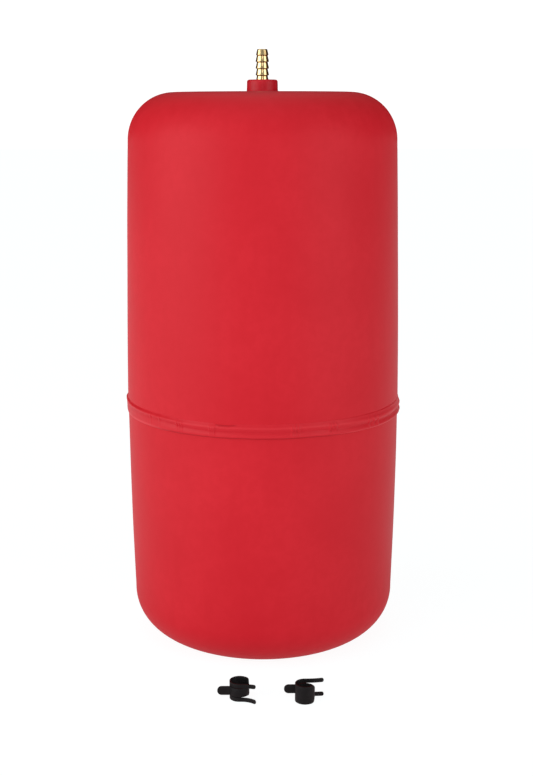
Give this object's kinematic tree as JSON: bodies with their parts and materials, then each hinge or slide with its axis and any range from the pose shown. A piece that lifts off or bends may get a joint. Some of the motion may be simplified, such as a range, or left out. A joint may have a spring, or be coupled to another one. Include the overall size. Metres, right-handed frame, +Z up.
{
  "type": "air helper spring cylinder",
  "caption": "Sealed moulded urethane air cylinder with rounded ends, a mid-height weld bead and a brass hose barb on top, with loose spring band clamps for its air hose.",
  "frame": {"origin": "centre of the flat base, on the surface the cylinder stands on", "axes": "+Z up along the cylinder's axis and out of the stem; -Y towards the two loose clamps (front); +X to the right"},
  "size_m": [0.1106, 0.1334, 0.2338],
  "materials": {
    "red_urethane": "satin moulded urethane",
    "red_urethane_weld": "smooth melted bead",
    "red_urethane_boss": "semi-gloss moulded urethane",
    "turned_brass": "bright turned",
    "black_spring_steel": "black oxide, oiled"
  },
  "bodies": {
    "tank_base": {"lower_shell": "red_urethane", "weld_bead": "red_urethane_weld"},
    "crown": {"upper_shell": "red_urethane", "stem_boss": "red_urethane_boss", "barbed_stem": "turned_brass"},
    "clamp_left_fork": {"clamp_left_fork": "black_spring_steel"},
    "clamp_left_tongue": {"clamp_left_tongue": "black_spring_steel"},
    "clamp_right_fork": {"clamp_right_fork": "black_spring_steel"},
    "clamp_right_tongue": {"clamp_right_tongue": "black_spring_steel"}
  },
  "joints": [
    {"name": "axial_stroke", "type": "slide", "parent": "tank_base", "child": "crown", "axis": [0, 0, -1], "range_m": [0, 0.06], "stiffness_N_per_m": 3000, "springref_m": -0.002, "deforming": ["upper_shell", "lower_shell", "weld_bead"]},
    {"name": "clamp_left_lift", "type": "slide", "parent": "tank_base", "child": "clamp_left_fork", "axis": [0, 0, 1], "range_m": [0, 0.06]},
    {"name": "clamp_left_pinch", "type": "hinge", "parent": "clamp_left_fork", "child": "clamp_left_tongue", "pos_m": [-0.0088, -0.0685, 0.0033], "axis": [0, 0, 1], "range_deg": [0, 18], "stiffness_Nm_per_rad": 0.3},
    {"name": "clamp_right_lift", "type": "slide", "parent": "tank_base", "child": "clamp_right_fork", "axis": [0, 0, 1], "range_m": [0, 0.06]},
    {"name": "clamp_right_pinch", "type": "hinge", "parent": "clamp_right_fork", "child": "clamp_right_tongue", "pos_m": [0.0152, -0.0771, 0.0033], "axis": [0, 0, -1], "range_deg": [0, 18], "stiffness_Nm_per_rad": 0.3}
  ]
}
